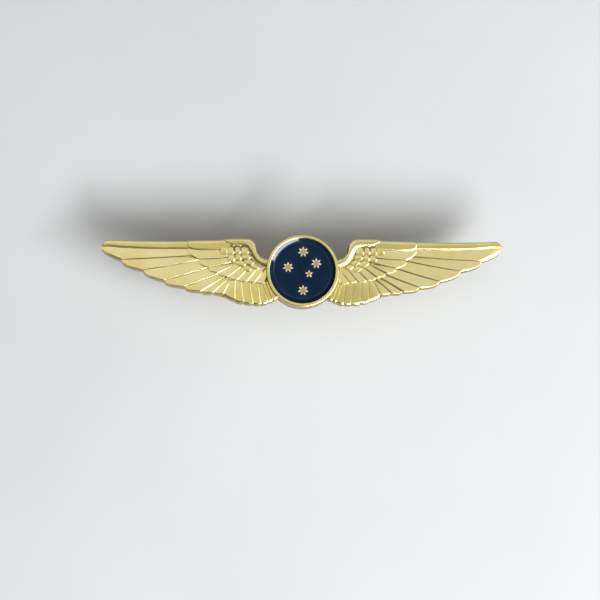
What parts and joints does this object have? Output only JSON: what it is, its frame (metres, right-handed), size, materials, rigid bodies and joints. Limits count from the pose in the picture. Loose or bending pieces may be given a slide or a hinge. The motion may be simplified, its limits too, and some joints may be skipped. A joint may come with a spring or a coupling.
{
  "type": "pilot wings pin",
  "caption": "Gold-plated pin: spread feathered wings with a round navy enamel medallion of raised stars, held by posts and butterfly clutches.",
  "frame": {"origin": "middle of the medallion on the flat back of the casting, where the pin meets the cloth", "axes": "+X along the span to the viewer's right, +Y towards the leading edge of the wings, +Z out of the face"},
  "size_m": [0.0802, 0.0144, 0.0109],
  "materials": {
    "wing_plating": "polished",
    "bezel_plating": "polished",
    "navy_enamel": "gloss",
    "post_plating": "satin",
    "clutch_brass": "satin"
  },
  "bodies": {
    "pin": {"wings_casting": "wing_plating", "medallion": "bezel_plating", "enamel_fill": "navy_enamel", "left_post": "post_plating", "right_post": "post_plating"},
    "left_clutch": {"left_clutch_base": "clutch_brass", "left_clutch_web": "clutch_brass"},
    "left_outer_ear": {"left_clutch_outer_ear": "clutch_brass"},
    "left_inner_ear": {"left_clutch_inner_ear": "clutch_brass"},
    "right_clutch": {"right_clutch_base": "clutch_brass", "right_clutch_web": "clutch_brass"},
    "right_outer_ear": {"right_clutch_outer_ear": "clutch_brass"},
    "right_inner_ear": {"right_clutch_inner_ear": "clutch_brass"}
  },
  "joints": [
    {"name": "left_clutch_slide", "type": "slide", "parent": "pin", "child": "left_clutch", "axis": [0, 0, -1], "range_m": [0, 0.0065]},
    {"name": "left_outer_ear_pinch", "type": "hinge", "parent": "left_clutch", "child": "left_outer_ear", "pos_m": [-0.0164, 0.00075, -0.00153], "axis": [0, -1, 0], "range_deg": [0, 6], "stiffness_Nm_per_rad": 0.02},
    {"name": "left_inner_ear_pinch", "type": "hinge", "parent": "left_clutch", "child": "left_inner_ear", "pos_m": [-0.0126, 0.00075, -0.00153], "axis": [0, 1, 0], "range_deg": [0, 6], "stiffness_Nm_per_rad": 0.02},
    {"name": "right_clutch_slide", "type": "slide", "parent": "pin", "child": "right_clutch", "axis": [0, 0, -1], "range_m": [0, 0.0065]},
    {"name": "right_outer_ear_pinch", "type": "hinge", "parent": "right_clutch", "child": "right_outer_ear", "pos_m": [0.0164, 0.00075, -0.00153], "axis": [0, 1, 0], "range_deg": [0, 6], "stiffness_Nm_per_rad": 0.02},
    {"name": "right_inner_ear_pinch", "type": "hinge", "parent": "right_clutch", "child": "right_inner_ear", "pos_m": [0.0126, 0.00075, -0.00153], "axis": [0, -1, 0], "range_deg": [0, 6], "stiffness_Nm_per_rad": 0.02}
  ],
  "couplings": [
    {"joint": "left_inner_ear_pinch", "follows": "left_outer_ear_pinch", "ratio": 1},
    {"joint": "right_inner_ear_pinch", "follows": "right_outer_ear_pinch", "ratio": 1}
  ]
}
